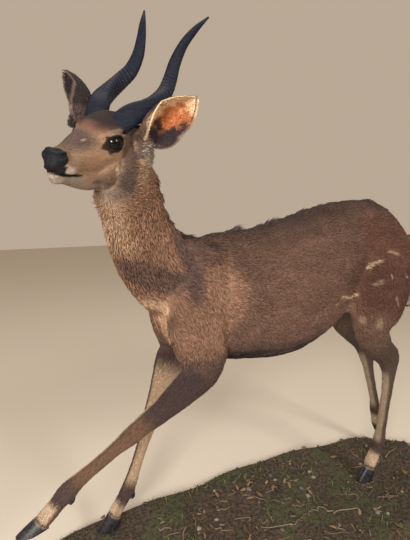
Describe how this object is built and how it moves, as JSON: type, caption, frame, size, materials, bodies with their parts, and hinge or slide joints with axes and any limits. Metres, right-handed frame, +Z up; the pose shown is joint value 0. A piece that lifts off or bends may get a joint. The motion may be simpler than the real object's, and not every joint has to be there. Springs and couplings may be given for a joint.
{
  "type": "mounted bushbuck ram on a ground base",
  "caption": "Life-size mounted bushbuck ram in mid bound, head turned, spiral horns and cupped ears, on a low base of modelled ground",
  "frame": {"origin": "On the floor, on the underside of the base, below the middle of the ram's trunk", "axes": "+X points from the ram's head end to its tail end, +Y to its right side, +Z up"},
  "size_m": [1.4801, 0.4908, 1.3343],
  "materials": {
    "hide": "short hair on a tanned skin",
    "pale_hide": "short pale hair on a tanned skin",
    "dark_hide": "longer dark hair on a tanned skin",
    "ear_skin": "thinly haired skin",
    "horn": "blue-black horn, dull sheen",
    "hoof": "black horn with a waxed sheen",
    "glass_eye": "polished dark glass",
    "ground": "matt modelled soil, moss and leaf litter"
  },
  "bodies": {
    "root": {"base_ground": "ground", "ear_left": "ear_skin", "ear_right": "ear_skin", "eye_left": "glass_eye", "eye_right": "glass_eye", "foreleg_left": "hide", "foreleg_left_cannon": "hide", "foreleg_left_hoof_left": "hoof", "foreleg_left_hoof_right": "hoof", "foreleg_left_pastern": "pale_hide", "foreleg_right": "hide", "foreleg_right_cannon": "hide", "foreleg_right_hoof_left": "hoof", "foreleg_right_hoof_right": "hoof", "foreleg_right_pastern": "pale_hide", "head": "hide", "hindleg_left": "hide", "hindleg_left_cannon": "hide", "hindleg_left_hoof_left": "hoof", "hindleg_left_hoof_right": "hoof", "hindleg_left_pastern": "pale_hide", "hindleg_right": "hide", "hindleg_right_cannon": "hide", "hindleg_right_hoof_left": "hoof", "hindleg_right_hoof_right": "hoof", "hindleg_right_pastern": "pale_hide", "horn_left": "horn", "horn_right": "horn", "neck": "hide", "tail": "dark_hide", "torso": "hide"}
  },
  "joints": []
}
